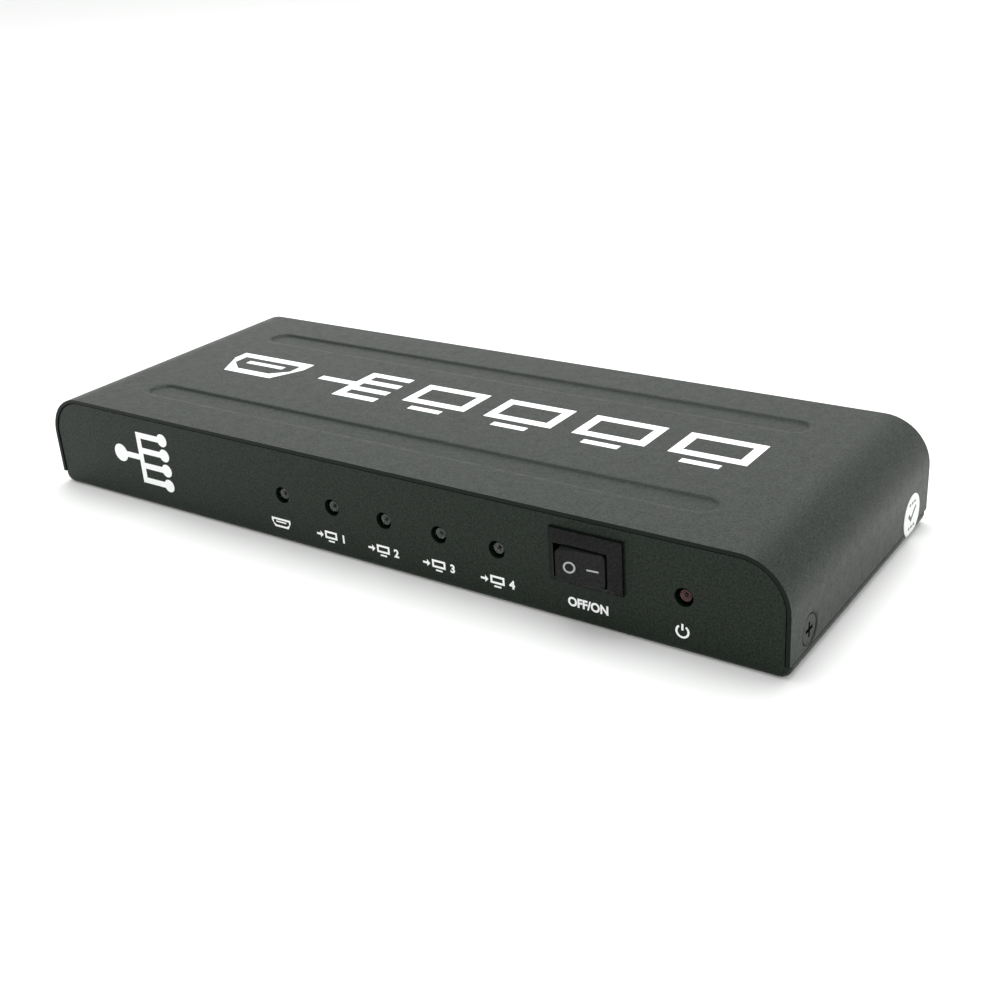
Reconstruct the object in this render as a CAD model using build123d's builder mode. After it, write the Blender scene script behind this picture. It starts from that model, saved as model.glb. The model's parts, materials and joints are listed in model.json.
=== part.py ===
from build123d import *
import os
from math import cos, radians, sin, tan

# A five-port video splitter in a bent sheet-steel case. Millimetres, X along the case, Z up.
# The origin is the centre of the flat underside. The switch and the lamps face -Y, the ports +Y.

# How far a cut runs past the material that it removes
overrun = 2.0

# Degrees in a full turn
full_turn = 360.0

# Case
case_length = 182.0
case_width = 68.3
case_height = 21.8
cover_sheet = 0.8
tray_sheet = 1.0
shoulder_radius = 9.7
lower_corner_radius = 2.2
panel_bend_radius = 1.2
ledge_height = 2.6
cover_gap = 0.25
seam_gap = 0.15
panel_recess = 0.2
lip_height = 12.0
lip_relief = 1.5

# Channels pressed down into the cover's top
channel_length = 142.3
channel_width = 6.4
channel_depth = 0.4
channel_slope = 45.0
channel_spacing = 40.4

# Countersunk screws that hold the cover's sides to the tray's lips
side_screw_inset = 8.0
side_screw_height = 6.0
side_screw_length = 5.0
side_screw_radius = 1.5
side_head_radius = 2.75
side_head_sunk = 0.1
cover_sink_radius = 3.1
cover_hole_radius = 2.0
lip_sink_radius = 2.1
screw_clearance = 0.05
recess_blade = 0.7
recess_span = 3.0
recess_depth = 0.9

# Circuit board and what carries it
board_end_gap = 11.0
board_front_gap = 4.95
board_rear_gap = 0.5
board_sheet = 1.6
board_corner = 1.0
room_over_jack = 2.15
standoff_across = 5.0
standoff_floor = 0.4
board_screw_inset_x = 4.5
board_screw_inset_front = 6.0
board_screw_inset_rear = 8.45
board_screw_radius = 1.5
board_screw_tip_gap = 1.2
board_head_radius = 2.75
board_head_height = 2.0
board_hole_clearance = 0.1
leg_clearance = 0.1
leg_below_board = 0.8

# Indicator lamps behind the front panel
lamp_below_top = 9.88
lamp_hole_radius = 1.8
lamp_radius = 1.5
lamp_length = 5.3
lamp_recess = 0.6
lamp_row_inset = 57.8
output_lamp_pitch = 13.35
power_lamp_inset = 19.4
lamp_leg = 0.5
lamp_leg_pitch = 2.54
lamp_leg_reach = 2.4

# Ports along the rear panel
output_count = 4
input_port_inset = 46.0
last_port_inset = 28.0
port_width = 14.0
port_height = 4.55
port_side = 2.5
port_floor_width = 10.6
port_depth = 11.2
shell_sheet = 0.3
flare_depth = 0.6
flare_angle = 40.0
flare_notch = 1.3
port_panel_gap = 0.2
shell_leg_width = 1.4
shell_front_leg = 3.2
shell_rear_leg = 9.4
spring_window_length = 5.0
spring_window_width = 2.6
spring_leaf_width = 1.6
spring_leaf_length = 4.4
spring_leaf_dip = 0.35
spring_spacing = 6.0
spring_setback = 1.6
core_fit = 0.03
core_setback = 7.9
tongue_setback = 1.4
tongue_width = 10.9
tongue_height = 1.7
contact_pitch = 1.0
contact_width = 0.4
contact_sheet = 0.12
contact_setback = 0.5
upper_contacts = 10

# Barrel power jack
jack_inset = 19.0
jack_width = 9.0
jack_height = 11.0
jack_depth = 14.2
jack_collar_depth = 3.4
jack_axis_height = 6.5
jack_bore_radius = 3.2
jack_bore_depth = 9.8
jack_pin_radius = 1.0
jack_shank_radius = 0.7
jack_pin_setback = 0.8
jack_pin_edge = 0.4
jack_panel_hole_radius = 4.0
jack_panel_gap = 0.1
jack_leaf_width = 2.2
jack_leaf_sheet = 0.3
jack_leaf_length = 7.0
jack_leaf_room = 1.2
jack_leaf_setback = 2.0
jack_tab_width = 2.4
jack_tab_sheet = 0.4

# Rocker switch: bezel, body and opening
switch_inset = 38.45
switch_below_top = 7.4
bezel_length = 15.0
bezel_height = 10.5
bezel_edge = 0.6
bezel_proud = 2.3
bezel_slope = 45.8
switch_body_length = 13.3
switch_body_height = 8.8
switch_body_depth = 10.4
switch_cutout_clearance = 0.1
switch_opening_length = 10.9
switch_opening_height = 6.7
switch_floor = 2.0
wing_reach = 0.65
wing_length = 2.2
wing_width = 4.0
wing_gap = 0.05

# The rocker and the parts that ride on it
rocker_throw = 18.0
rocker_dish = 4.0
rocker_half_length = 4.63
rocker_side_gap = 0.2
rocker_corner = 0.7
rocker_valley = 4.17
rocker_below = 1.5
hinge_depth = 1.0
hinge_pin_radius = 0.8
hinge_pin_clearance = 0.05
hinge_pin_length = 0.75
hinge_hole_depth = 0.9
stem_width = 3.4
stem_height = 4.0
stem_reach = 3.4
socket_radius = 1.0
socket_top = 0.5
plunger_radius = 0.9
plunger_top = 2.6
plunger_reach = 4.6
plunger_nose = 0.5
spring_radius = 0.75
spring_wire = 0.22
spring_end_gap = 0.05
spring_turns = 3

# The rocking contact and the two terminals
lever_tilt = 14.0
lever_half_length = 4.4
lever_width = 2.6
lever_sheet = 0.35
lever_tip_gap = 0.15
lever_knife_gap = 0.05
button_radius = 0.8
button_height = 0.3
button_place = 3.6
button_gap = 0.06
terminal_sheet = 0.5
terminal_width = 2.0
terminal_length = 5.4
terminal_head_length = 1.8
terminal_head_width = 2.4
terminal_slot_gap = 0.05
lead_radius = 0.7
lead_sides = 8
lead_run = 6.0
lead_bend_share = 0.45

# Parts on the board
chip_size = 14.0
chip_height = 1.4
chip_lift = 0.1
chip_off_middle = 3.0
chip_sides = 4
chip_pins = 6
chip_pin_pitch = 1.9
chip_pin_width = 0.6
chip_pin_reach = 1.0
chip_pin_sheet = 0.15
pad_thickness = 0.5
sink_size = 22.0
sink_base = 1.6
sink_height = 8.0
sink_fins = 8
sink_fin_sheet = 1.0
buffer_length = 6.4
buffer_width = 4.4
buffer_height = 1.1
buffer_setback = 6.5
crystal_length = 11.0
crystal_width = 4.7
crystal_height = 3.5
crystal_beside_chip = 21.0
crystal_before_chip = 3.0
regulator_inset = 29.0
regulator_before_jack = 16.75
regulator_length = 6.5
regulator_width = 3.5
regulator_height = 1.7
regulator_tab_width = 3.0
regulator_tab_sheet = 0.5
regulator_tab_reach = 1.6
regulator_leads = 3
regulator_lead_pitch = 2.3
regulator_lead_width = 0.8
inductor_before_regulator = 10.0
inductor_size = 7.0
inductor_height = 4.5
inductor_corner = 1.2
capacitor_inset = 18.0
capacitor_shares = (0.32, 0.585)
capacitor_radius = 3.15
capacitor_height = 7.7
capacitor_base = 6.6
capacitor_base_height = 1.0

# Places that follow from the sizes above
half_length = case_length / 2
half_width = case_width / 2
inner_half_length = half_length - cover_sheet - cover_gap
panel_face = half_width - panel_recess
panel_inside = panel_face - tray_sheet
panel_top = case_height - cover_sheet - cover_gap
cover_foot = ledge_height + seam_gap
side_screw_y = half_width - side_screw_inset

# The board stands as high as the jack's room under the cover allows
board_top = panel_top - room_over_jack - jack_height
board_underside = board_top - board_sheet
board_length = case_length - 2 * board_end_gap
board_front = board_front_gap - panel_inside
board_rear = panel_inside - board_rear_gap
leg_foot = board_underside - leg_below_board

# Places along the front
lamp_height = panel_top - lamp_below_top
output_lamp_x = half_length - lamp_row_inset - output_lamp_pitch * (output_count - 1)
output_lamps = [output_lamp_x + output_lamp_pitch * n for n in range(output_count)]
input_lamp_x = output_lamp_x - output_lamp_pitch
power_lamp_x = half_length - power_lamp_inset
switch_x = half_length - switch_inset
switch_height = panel_top - switch_below_top

# Places along the rear
input_port_x = half_length - input_port_inset
port_pitch = (input_port_x + half_length - last_port_inset) / output_count
output_ports = [input_port_x - port_pitch * (n + 1) for n in range(output_count)]
port_names = ["input"] + [f"output_{n + 1}" for n in range(output_count)]
port_places = [input_port_x] + output_ports
lamp_names = port_names + ["power"]
lamp_places = [input_lamp_x] + output_lamps + [power_lamp_x]
port_axis = board_top + shell_sheet + port_height / 2
port_back = panel_face - port_depth
jack_x = half_length - jack_inset
jack_face = panel_inside - jack_panel_gap
jack_back = jack_face - jack_depth
jack_axis = board_top + jack_axis_height

# Places on the board
board_screw_x = board_length / 2 - board_screw_inset_x
front_screw_y = board_front + board_screw_inset_front
rear_screw_y = board_rear - board_screw_inset_rear
rear_right_screw_x = (jack_x - jack_width / 2 + input_port_x + port_width / 2) / 2
board_screw_places = [
    (-board_screw_x, front_screw_y),
    (board_screw_x, front_screw_y),
    (-board_screw_x, rear_screw_y),
    (rear_right_screw_x, rear_screw_y),
]
chip_x = output_ports[1]
chip_y = -chip_off_middle
crystal_x = chip_x + crystal_beside_chip
crystal_y = chip_y - crystal_before_chip
regulator_x = half_length - regulator_inset
regulator_y = jack_back - regulator_before_jack
inductor_y = regulator_y - inductor_before_regulator
capacitor_x = half_length - capacitor_inset
capacitor_front = front_screw_y + board_head_radius
capacitor_room = jack_back - capacitor_front
capacitor_places = [(capacitor_x, capacitor_front + capacitor_room * share) for share in capacitor_shares]

# The switch is drawn from the panel's face outward. It rests with its ON side pressed.
switch_face = Plane(origin=(switch_x, -panel_face, switch_height), x_dir=(1, 0, 0), z_dir=(0, -1, 0))
hinge_y = hinge_depth - panel_face
rocker_plane = Plane((switch_x, hinge_y, switch_height)).rotated((0, 0, rocker_throw / 2))
knife_y = hinge_y + plunger_reach + lever_tip_gap + lever_sheet + lever_knife_gap
lever_plane = Plane((switch_x, knife_y, switch_height)).rotated((0, 0, -lever_tilt / 2))
button_x = -button_place * cos(radians(lever_tilt / 2))
button_sweep = (button_place + button_radius) * sin(radians(lever_tilt / 2))
fixed_contact_y = knife_y - lever_knife_gap + button_height + button_sweep + button_gap
terminal_tip_y = switch_body_depth + terminal_length - panel_face

os.makedirs("parts", exist_ok=True)


def keep(builder, name):
    """Labels a finished piece and writes it."""
    builder.part.label = name
    export_step(builder.part, f"parts/{name}.step")


def section_through(face):
    """The plane that holds a face's normal, with its own y along that normal."""
    return Plane(origin=face.origin, x_dir=face.x_dir, z_dir=-face.y_dir)


def side_faces(x):
    """Planes on both sides of the case at the cover screws, with their normals outward."""
    return [
        Plane(origin=(side * x, y, side_screw_height), x_dir=(0, side, 0), z_dir=(side, 0, 0))
        for side in (1, -1)
        for y in (-side_screw_y, side_screw_y)
    ]


def lamp_face(x, y):
    """A plane across a lamp's axis, with its normal out of the front panel."""
    return Plane(origin=(x, y, lamp_height), x_dir=(1, 0, 0), z_dir=(0, -1, 0))


def port_face(x):
    """The plane of a port's mouth, with its normal out of the rear panel."""
    return Plane(origin=(x, panel_face, port_axis), x_dir=(-1, 0, 0), z_dir=(0, 1, 0))


def port_outline(growth):
    """The port's outline, wide above and narrow at its floor, grown or shrunk."""
    half_top = port_width / 2
    half_floor = port_floor_width / 2
    top = port_height / 2
    with BuildSketch() as outline:
        with BuildLine():
            Polyline(
                (-half_top, top),
                (half_top, top),
                (half_top, top - port_side),
                (half_floor, -top),
                (-half_floor, -top),
                (-half_top, top - port_side),
                close=True,
            )
        make_face()
        if growth:
            offset(amount=growth, kind=Kind.INTERSECTION, mode=Mode.REPLACE)
    return outline.sketch


# The cover: one sheet bent down over the sides, with two channels pressed into its top
with BuildPart() as top_cover:
    with BuildSketch(Plane.XZ):
        with BuildLine():
            FilletPolyline(
                (-half_length, cover_foot),
                (-half_length, case_height),
                (half_length, case_height),
                (half_length, cover_foot),
                radius=shoulder_radius,
            )
            offset(amount=cover_sheet, side=Side.RIGHT)
        make_face()
    extrude(amount=half_width, both=True)
    with BuildSketch(Plane.XY.offset(case_height - cover_sheet)):
        with GridLocations(0, channel_spacing, 1, 2):
            SlotOverall(channel_length, channel_width)
    extrude(amount=-channel_depth, taper=channel_slope)
    with BuildSketch(Plane.XY.offset(case_height)):
        with GridLocations(0, channel_spacing, 1, 2):
            SlotOverall(channel_length, channel_width)
    extrude(amount=-channel_depth, taper=channel_slope, mode=Mode.SUBTRACT)
    with Locations(*side_faces(half_length)):
        CounterSinkHole(cover_hole_radius, cover_sink_radius, overrun)
keep(top_cover, "top_cover")

# The tray: the bottom, both end panels and the stepped lips that the cover screws to
with BuildPart() as chassis_tray:
    with BuildSketch(Plane.XZ):
        Rectangle(case_length, ledge_height, align=(Align.CENTER, Align.MIN))
        fillet(vertices().group_by(Axis.Y)[0], radius=lower_corner_radius)
    extrude(amount=panel_face, both=True)
    with BuildSketch(Plane.XZ):
        Rectangle(2 * inner_half_length, panel_top, align=(Align.CENTER, Align.MIN))
        fillet(vertices().group_by(Axis.Y)[-1], radius=shoulder_radius - cover_sheet - cover_gap)
        with Locations((0, lower_corner_radius)):
            Rectangle(case_length, lower_corner_radius, align=(Align.CENTER, Align.MAX), mode=Mode.SUBTRACT)
    extrude(amount=panel_face, both=True)
    fillet(edges().filter_by(Axis.X).group_by(Axis.Z)[0], radius=panel_bend_radius)
    with BuildSketch(Plane.XZ):
        with Locations((0, tray_sheet)):
            Rectangle(2 * (inner_half_length - tray_sheet), case_height, align=(Align.CENTER, Align.MIN))
        fillet(vertices().group_by(Axis.Y)[0], radius=lower_corner_radius - tray_sheet)
        with Locations((0, lip_height)):
            Rectangle(case_length, case_height, align=(Align.CENTER, Align.MIN))
    extrude(amount=panel_inside, both=True, mode=Mode.SUBTRACT)
    with BuildSketch(Plane.XY.offset(ledge_height)):
        with GridLocations(case_length, 2 * panel_inside - lip_relief, 2, 2):
            Rectangle(case_length / 2, lip_relief)
    extrude(amount=lip_height, mode=Mode.SUBTRACT)
    with Locations(*side_faces(inner_half_length)):
        CounterSinkHole(side_screw_radius + screw_clearance, lip_sink_radius, overrun)
    with BuildSketch(*[lamp_face(x, -panel_face) for x in lamp_places]):
        Circle(lamp_hole_radius)
    extrude(amount=-tray_sheet, mode=Mode.SUBTRACT)
    with BuildSketch(switch_face):
        Rectangle(
            switch_body_length + 2 * switch_cutout_clearance,
            switch_body_height + 2 * switch_cutout_clearance,
        )
    extrude(amount=-tray_sheet, mode=Mode.SUBTRACT)
    flare_reach = shell_sheet + flare_depth
    with BuildSketch(*[port_face(x) for x in port_places]):
        Rectangle(
            port_width + 2 * (flare_reach + port_panel_gap),
            port_height + 2 * (flare_reach + port_panel_gap),
        )
    extrude(amount=-tray_sheet, mode=Mode.SUBTRACT)
    with BuildSketch(Plane(origin=(jack_x, panel_face, jack_axis), z_dir=(0, 1, 0))):
        Circle(jack_panel_hole_radius)
    extrude(amount=-tray_sheet, mode=Mode.SUBTRACT)
keep(chassis_tray, "chassis_tray")

# Four countersunk screws through the cover's sides
with BuildPart() as cover_screws:
    for face in side_faces(half_length - side_head_sunk):
        with BuildSketch(section_through(face)):
            with BuildLine():
                Polyline(
                    (0, 0),
                    (side_head_radius, 0),
                    (side_screw_radius, side_screw_radius - side_head_radius),
                    (side_screw_radius, -side_screw_length),
                    (0, -side_screw_length),
                    close=True,
                )
            make_face()
        revolve(axis=Axis(face.origin, face.z_dir))
        with BuildSketch(face):
            Rectangle(recess_span, recess_blade)
            Rectangle(recess_blade, recess_span)
        extrude(amount=-recess_depth, mode=Mode.SUBTRACT)
keep(cover_screws, "cover_screws")

# Hexagonal standoffs welded to the bottom
with BuildPart() as board_standoffs:
    with BuildSketch(Plane.XY.offset(tray_sheet)):
        with Locations(*board_screw_places):
            RegularPolygon(standoff_across / 2, 6, major_radius=False)
    extrude(amount=board_underside - tray_sheet)
    with BuildSketch(Plane.XY.offset(tray_sheet + standoff_floor)):
        with Locations(*board_screw_places):
            Circle(board_screw_radius + screw_clearance)
    extrude(amount=board_underside - tray_sheet - standoff_floor, mode=Mode.SUBTRACT)
keep(board_standoffs, "board_standoffs")

# The screws that hold the board down on the standoffs
with BuildPart() as board_screws:
    with BuildSketch(Plane.XY.offset(board_top)):
        with Locations(*board_screw_places):
            Circle(board_head_radius)
    extrude(amount=board_head_height)
    with BuildSketch(Plane.XY.offset(board_top)):
        with Locations(*board_screw_places):
            Circle(board_screw_radius)
    extrude(amount=tray_sheet + standoff_floor + board_screw_tip_gap - board_top)
keep(board_screws, "board_screws")

# The circuit board, with its screw holes and the slots and holes that the legs go through
shell_leg_x = (port_width + shell_sheet) / 2
lamp_leg_hole = lamp_leg + 2 * leg_clearance
with BuildPart() as circuit_board:
    with BuildSketch(Plane.XY.offset(board_underside)):
        with Locations((0, (board_rear + board_front) / 2)):
            RectangleRounded(board_length, board_rear - board_front, board_corner)
        with Locations(*board_screw_places):
            Circle(board_screw_radius + board_hole_clearance, mode=Mode.SUBTRACT)
        for port_x in port_places:
            for leg_y in (shell_front_leg, shell_rear_leg):
                for side in (-1, 1):
                    with Locations((port_x + side * shell_leg_x, panel_face - leg_y)):
                        Rectangle(
                            shell_sheet + 2 * leg_clearance,
                            shell_leg_width + 2 * leg_clearance,
                            mode=Mode.SUBTRACT,
                        )
        for lamp_x in lamp_places:
            with Locations((lamp_x, lamp_recess + lamp_length + lamp_leg_reach - lamp_leg / 2 - panel_face)):
                with GridLocations(lamp_leg_pitch, 0, 2, 1):
                    Rectangle(lamp_leg_hole, lamp_leg_hole, mode=Mode.SUBTRACT)
        with Locations((jack_x, jack_back - jack_tab_sheet / 2)):
            Rectangle(
                jack_tab_width + 2 * leg_clearance,
                jack_tab_sheet + 2 * leg_clearance,
                mode=Mode.SUBTRACT,
            )
        with Locations((jack_x, jack_face - jack_leaf_setback - jack_leaf_length + jack_leaf_sheet / 2)):
            Rectangle(
                jack_leaf_width + 2 * leg_clearance,
                jack_leaf_sheet + 2 * leg_clearance,
                mode=Mode.SUBTRACT,
            )
    extrude(amount=board_sheet)
keep(circuit_board, "circuit_board")


def port_shell(name, x):
    """The sheet shell of one port, with its flared mouth, spring leaves and board legs."""
    mouth = port_face(x)
    with BuildPart() as shell:
        with BuildSketch(mouth.offset(-port_depth)):
            add(port_outline(shell_sheet))
        extrude(amount=port_depth - flare_depth)
        with BuildSketch(mouth.offset(-flare_depth)):
            add(port_outline(shell_sheet))
        extrude(amount=flare_depth, taper=-flare_angle)
        with BuildSketch(mouth.offset(-port_depth)):
            add(port_outline(0))
        extrude(amount=port_depth, mode=Mode.SUBTRACT)
        with BuildSketch(mouth.offset(-flare_depth)):
            add(port_outline(0))
        extrude(amount=flare_depth, taper=-flare_angle, mode=Mode.SUBTRACT)
        with BuildSketch(mouth):
            with GridLocations(port_width + shell_sheet, port_height + shell_sheet, 2, 2):
                Rectangle(flare_notch, flare_notch)
        extrude(amount=-flare_depth, mode=Mode.SUBTRACT)
        window_y = panel_face - flare_depth - spring_setback - spring_window_length / 2
        with BuildSketch(Plane.XY.offset(port_axis)):
            with Locations((x, window_y)):
                with GridLocations(spring_spacing, 0, 2, 1):
                    Rectangle(spring_window_width, spring_window_length)
        extrude(amount=port_height, both=True, mode=Mode.SUBTRACT)
        leaf_root = panel_face - flare_depth - spring_setback
        for side in (-1, 1):
            for leaf_x in (x - spring_spacing / 2, x + spring_spacing / 2):
                inner = port_axis + side * port_height / 2
                outer = inner + side * shell_sheet
                dip = side * spring_leaf_dip
                with BuildSketch(Plane.YZ.offset(leaf_x)):
                    with BuildLine():
                        Polyline(
                            (leaf_root, inner),
                            (leaf_root, outer),
                            (leaf_root - spring_leaf_length, outer - dip),
                            (leaf_root - spring_leaf_length, inner - dip),
                            close=True,
                        )
                    make_face()
                extrude(amount=spring_leaf_width / 2, both=True)
        straight_foot = port_axis + port_height / 2 - port_side
        for leg_y in (shell_front_leg, shell_rear_leg):
            for side in (-1, 1):
                with BuildSketch(Plane.XY.offset(leg_foot)):
                    with Locations((x + side * shell_leg_x, panel_face - leg_y)):
                        Rectangle(shell_sheet, shell_leg_width)
                extrude(amount=straight_foot - leg_foot)
    keep(shell, f"{name}_port_shell")


def port_core(name, x):
    """The moulded block at the back of a port and the tongue that reaches to its mouth."""
    mouth = port_face(x)
    with BuildPart() as core:
        with BuildSketch(mouth.offset(-port_depth)):
            add(port_outline(-core_fit))
        extrude(amount=port_depth - core_setback)
        with BuildSketch(mouth.offset(-core_setback)):
            Rectangle(tongue_width, tongue_height)
        extrude(amount=core_setback - tongue_setback)
    keep(core, f"{name}_port_core")


def port_contacts(name, x):
    """Two rows of contacts, one on each face of the tongue."""
    mouth = port_face(x)
    lower_contacts = upper_contacts - 1
    row_height = (tongue_height + contact_sheet) / 2
    with BuildPart() as contacts:
        with BuildSketch(mouth.offset(-core_setback)):
            with Locations((0, row_height)):
                with GridLocations(contact_pitch, 0, upper_contacts, 1):
                    Rectangle(contact_width, contact_sheet)
            with Locations((0, -row_height)):
                with GridLocations(contact_pitch, 0, lower_contacts, 1):
                    Rectangle(contact_width, contact_sheet)
        extrude(amount=core_setback - tongue_setback - contact_setback)
    keep(contacts, f"{name}_port_contacts")


for port_name, port_x in zip(port_names, port_places):
    port_shell(port_name, port_x)
    port_core(port_name, port_x)
    port_contacts(port_name, port_x)

# The power jack: a square collar behind the panel and an arched body behind that
jack_mouth = Plane(origin=(jack_x, jack_face, jack_axis), x_dir=(-1, 0, 0), z_dir=(0, 1, 0))
leaf_room_half = (jack_leaf_width + 2 * leg_clearance) / 2
with BuildPart() as power_jack_housing:
    with BuildSketch(jack_mouth):
        with Locations((0, -jack_axis_height)):
            Rectangle(jack_width, jack_height, align=(Align.CENTER, Align.MIN))
    extrude(amount=-jack_collar_depth)
    with BuildSketch(jack_mouth):
        with Locations((0, -jack_axis_height)):
            Rectangle(jack_width, jack_axis_height, align=(Align.CENTER, Align.MIN))
        Circle(jack_width / 2)
    extrude(amount=-jack_depth)
    with BuildSketch(jack_mouth):
        Circle(jack_bore_radius)
    extrude(amount=-jack_bore_depth, mode=Mode.SUBTRACT)
    with BuildSketch(jack_mouth.offset(-jack_depth)):
        Circle(jack_shank_radius)
    extrude(amount=jack_depth - jack_bore_depth, mode=Mode.SUBTRACT)
    with BuildSketch(jack_mouth.offset(-jack_leaf_setback)):
        with Locations((0, -jack_bore_radius - jack_leaf_room)):
            Rectangle(2 * leaf_room_half, jack_bore_radius, align=(Align.CENTER, Align.MIN))
    extrude(amount=-jack_leaf_length, mode=Mode.SUBTRACT)
    with BuildSketch(Plane.XY.offset(board_top)):
        with Locations((jack_x, jack_face - jack_leaf_setback - jack_leaf_length)):
            Rectangle(2 * leaf_room_half, jack_leaf_room, align=(Align.CENTER, Align.MIN))
    extrude(amount=jack_axis_height - jack_bore_radius, mode=Mode.SUBTRACT)
keep(power_jack_housing, "power_jack_housing")

# The jack's centre pin, riveted through the back wall to the tab that goes into the board
with BuildPart() as power_jack_pin:
    with BuildSketch(jack_mouth.offset(-jack_bore_depth)):
        Circle(jack_pin_radius)
    extrude(amount=jack_bore_depth - jack_pin_setback)
    chamfer(edges().group_by(Axis.Y)[-1], length=jack_pin_edge)
    with BuildSketch(jack_mouth.offset(-jack_depth)):
        Circle(jack_shank_radius)
    extrude(amount=jack_depth - jack_bore_depth)
    with BuildSketch(jack_mouth.offset(-jack_depth)):
        with Locations((0, jack_pin_radius)):
            Rectangle(
                jack_tab_width,
                jack_pin_radius + jack_axis - leg_foot,
                align=(Align.CENTER, Align.MAX),
            )
    extrude(amount=-jack_tab_sheet)
keep(power_jack_pin, "power_jack_pin")

# The leaf that grips the outside of the plug, with its leg into the board
leaf_top = jack_axis - jack_bore_radius
with BuildPart() as power_jack_leaf:
    with BuildSketch(Plane.YZ.offset(jack_x)):
        with Locations((jack_face - jack_leaf_setback - jack_leaf_length, leaf_top)):
            Rectangle(jack_leaf_length, jack_leaf_sheet, align=(Align.MIN, Align.MAX))
            Rectangle(jack_leaf_sheet, leaf_top - leg_foot, align=(Align.MIN, Align.MAX))
    extrude(amount=jack_leaf_width / 2, both=True)
keep(power_jack_leaf, "power_jack_leaf")

# The switch body: a sloping bezel in front, a snap-in body behind the panel
with BuildPart() as switch_body:
    with BuildSketch(switch_face):
        Rectangle(bezel_length, bezel_height)
    extrude(amount=bezel_edge)
    with BuildSketch(switch_face.offset(bezel_edge)):
        Rectangle(bezel_length, bezel_height)
    extrude(amount=bezel_proud - bezel_edge, taper=bezel_slope)
    with BuildSketch(switch_face):
        Rectangle(switch_body_length, switch_body_height)
    extrude(amount=-switch_body_depth)
    wing_y = tray_sheet + wing_gap - panel_face
    with BuildSketch(Plane.XY.offset(switch_height)):
        for side in (-1, 1):
            wing_x = switch_x + side * switch_body_length / 2
            with BuildLine():
                Polyline(
                    (wing_x, wing_y),
                    (wing_x + side * wing_reach, wing_y),
                    (wing_x, wing_y + wing_length),
                    close=True,
                )
            make_face()
    extrude(amount=wing_width / 2, both=True)
    with BuildSketch(switch_face.offset(bezel_proud)):
        Rectangle(switch_opening_length, switch_opening_height)
    extrude(amount=-(bezel_proud + switch_body_depth - switch_floor), mode=Mode.SUBTRACT)
    hinge_hole_half = switch_opening_height / 2 + hinge_hole_depth
    with BuildSketch(Plane(origin=(switch_x, hinge_y, switch_height))):
        Circle(hinge_pin_radius + hinge_pin_clearance)
    extrude(amount=hinge_hole_half, both=True, mode=Mode.SUBTRACT)
    with BuildSketch(switch_face.offset(-switch_body_depth)):
        with Locations((0, 0), (button_x, 0)):
            Rectangle(
                terminal_sheet + 2 * terminal_slot_gap,
                terminal_width + 2 * terminal_slot_gap,
            )
    extrude(amount=switch_floor, mode=Mode.SUBTRACT)
keep(switch_body, "switch_body")

# The rocker: a dished face on two pins, with a stem that carries the plunger
rocker_half_height = switch_opening_height / 2 - rocker_side_gap
rocker_end = rocker_valley + rocker_half_length * tan(radians(rocker_dish))
rocker_out = Plane(origin=rocker_plane.origin, x_dir=rocker_plane.x_dir, z_dir=-rocker_plane.y_dir)
with BuildPart() as switch_rocker:
    with BuildSketch(rocker_plane):
        with BuildLine():
            Polyline(
                (-rocker_half_length, rocker_below),
                (-rocker_half_length, -rocker_end),
                (0, -rocker_valley),
                (rocker_half_length, -rocker_end),
                (rocker_half_length, rocker_below),
                close=True,
            )
        make_face()
    extrude(amount=rocker_half_height, both=True)
    with BuildSketch(rocker_out):
        RectangleRounded(2 * rocker_half_length, 2 * rocker_half_height, rocker_corner)
    extrude(amount=rocker_end + overrun, both=True, mode=Mode.INTERSECT)
    with BuildSketch(rocker_out.offset(-stem_reach)):
        Rectangle(stem_width, stem_height)
    extrude(amount=stem_reach)
    with BuildSketch(rocker_plane):
        Circle(hinge_pin_radius)
    extrude(amount=rocker_half_height + hinge_pin_length, both=True)
    with BuildSketch(rocker_out.offset(-stem_reach)):
        Circle(socket_radius)
    extrude(amount=stem_reach - socket_top, mode=Mode.SUBTRACT)
keep(switch_rocker, "switch_rocker")

# The plunger with its tapered nose, and the spring that presses it
with BuildPart() as switch_plunger:
    with BuildSketch(rocker_out.offset(-plunger_reach)):
        Circle(plunger_radius)
    extrude(amount=plunger_reach - plunger_top)
    chamfer(edges().sort_by_distance(rocker_out.origin)[-1], length=plunger_nose)
keep(switch_plunger, "switch_plunger")

spring_room = plunger_top - socket_top - 2 * spring_end_gap - spring_wire
spring_foot = rocker_out.offset(-(plunger_top - spring_end_gap - spring_wire / 2))
with BuildPart() as switch_spring:
    with BuildLine() as coil:
        Helix(
            pitch=spring_room / spring_turns,
            height=spring_room,
            radius=spring_radius,
            center=spring_foot.origin,
            direction=spring_foot.z_dir,
        )
    with BuildSketch(Plane(coil.line @ 0, x_dir=spring_foot.z_dir, z_dir=coil.line % 0)):
        Rectangle(spring_wire, spring_wire)
    sweep(path=coil.line, is_frenet=True)
keep(switch_spring, "switch_spring")

# The rocking contact: a strip with a button under the end that makes the circuit
with BuildPart() as switch_contact_lever:
    with BuildSketch(lever_plane):
        with Locations((0, -lever_knife_gap)):
            Rectangle(2 * lever_half_length, lever_sheet, align=(Align.CENTER, Align.MAX))
        with Locations((-button_place, -lever_knife_gap)):
            Rectangle(2 * button_radius, button_height, align=(Align.CENTER, Align.MIN))
    extrude(amount=lever_width / 2, both=True)
keep(switch_contact_lever, "switch_contact_lever")

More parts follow.
